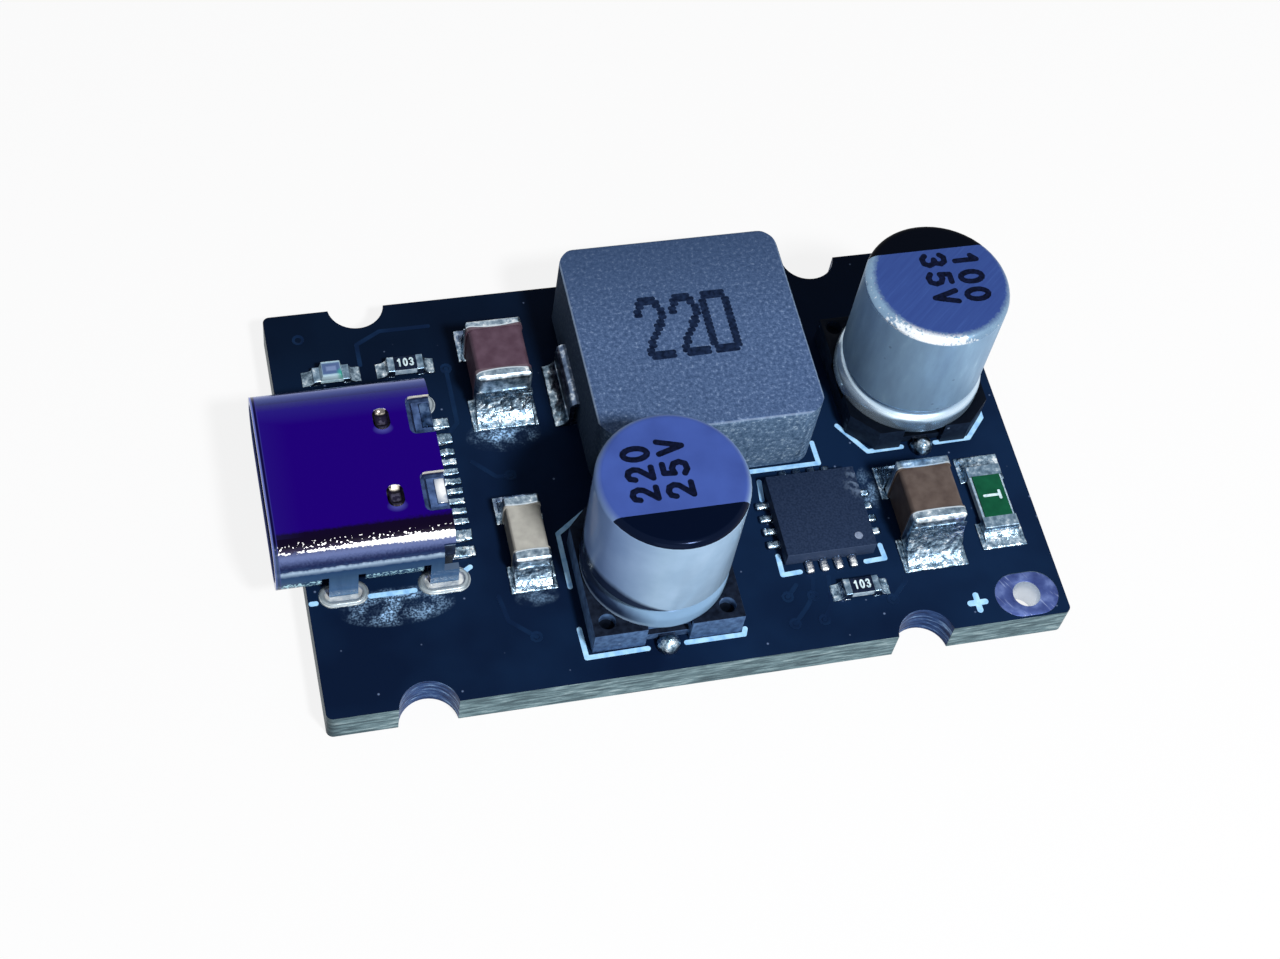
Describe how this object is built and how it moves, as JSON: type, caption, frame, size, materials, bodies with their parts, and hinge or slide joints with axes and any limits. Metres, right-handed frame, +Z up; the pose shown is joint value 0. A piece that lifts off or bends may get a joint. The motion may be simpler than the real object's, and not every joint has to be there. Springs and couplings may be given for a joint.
{
  "type": "usb charging module",
  "caption": "Step-down charging board with a USB-C receptacle on one edge, two wire eyelets, a moulded inductor and can capacitors.",
  "frame": {"origin": "centre of the board's underside", "axes": "+X from the USB receptacle to the wire eyelets, +Y to the inductor's side of the board, +Z up from the board's underside"},
  "size_m": [0.0332, 0.02, 0.0094],
  "materials": {
    "board_laminate": "dark blue solder mask over glass-epoxy laminate",
    "tinned_copper": "tinned copper, levelled by hot air",
    "plated_steel": "nickel-plated steel sheet, bright",
    "black_plastic": "moulded black plastic",
    "spring_steel": "stamped stainless sheet",
    "gold_contact": "gold-plated copper alloy",
    "solder": "reflowed solder, bright",
    "can_aluminium": "drawn aluminium with a clear coat",
    "winding_paper": "rolled foil and paper",
    "bung_rubber": "butyl rubber",
    "tinned_wire": "tinned copper wire and strip",
    "iron_powder": "pressed iron powder, fine grain",
    "coil_copper": "enamelled copper wire",
    "chip_epoxy": "moulded epoxy, fine matte",
    "brown_ceramic": "fired ceramic, brown",
    "beige_ceramic": "fired ceramic, beige",
    "chip_end_tin": "tin-plated chip ends",
    "alumina": "fired alumina",
    "green_coat": "green glaze",
    "black_coat": "black glaze",
    "lamp_base": "white laminate",
    "clear_epoxy": "clear cast epoxy"
  },
  "bodies": {
    "root": {"circuit_board": "board_laminate", "plus_eyelet": "tinned_copper", "minus_eyelet": "tinned_copper", "shell_slot_plating": "tinned_copper", "usb_shell": "plated_steel", "usb_housing": "black_plastic", "usb_mid_plate": "spring_steel", "usb_upper_contacts": "gold_contact", "usb_lower_contacts": "gold_contact", "usb_tail_solder": "solder", "usb_leg_solder": "solder", "output_can": "can_aluminium", "output_winding": "winding_paper", "output_bung": "bung_rubber", "output_base": "black_plastic", "output_leads": "tinned_wire", "output_can_solder": "solder", "input_can": "can_aluminium", "input_winding": "winding_paper", "input_bung": "bung_rubber", "input_base": "black_plastic", "input_leads": "tinned_wire", "input_can_solder": "solder", "inductor_body": "iron_powder", "inductor_coil": "coil_copper", "inductor_terminals": "tinned_wire", "inductor_solder": "solder", "controller_body": "chip_epoxy", "controller_leadframe": "tinned_wire", "controller_solder": "solder", "output_ceramic_body": "brown_ceramic", "output_ceramic_ends": "chip_end_tin", "output_ceramic_solder": "solder", "bypass_ceramic_body": "beige_ceramic", "bypass_ceramic_ends": "chip_end_tin", "bypass_ceramic_solder": "solder", "input_ceramic_body": "brown_ceramic", "input_ceramic_ends": "chip_end_tin", "input_ceramic_solder": "solder", "fuse_body": "alumina", "fuse_coat": "green_coat", "fuse_ends": "chip_end_tin", "fuse_solder": "solder", "led_base": "lamp_base", "led_lens": "clear_epoxy", "led_terminals": "gold_contact", "led_solder": "solder", "led_resistor_body": "alumina", "led_resistor_coat": "black_coat", "led_resistor_ends": "chip_end_tin", "led_resistor_solder": "solder", "signal_resistor_body": "alumina", "signal_resistor_coat": "black_coat", "signal_resistor_ends": "chip_end_tin", "signal_resistor_solder": "solder"}
  },
  "joints": []
}
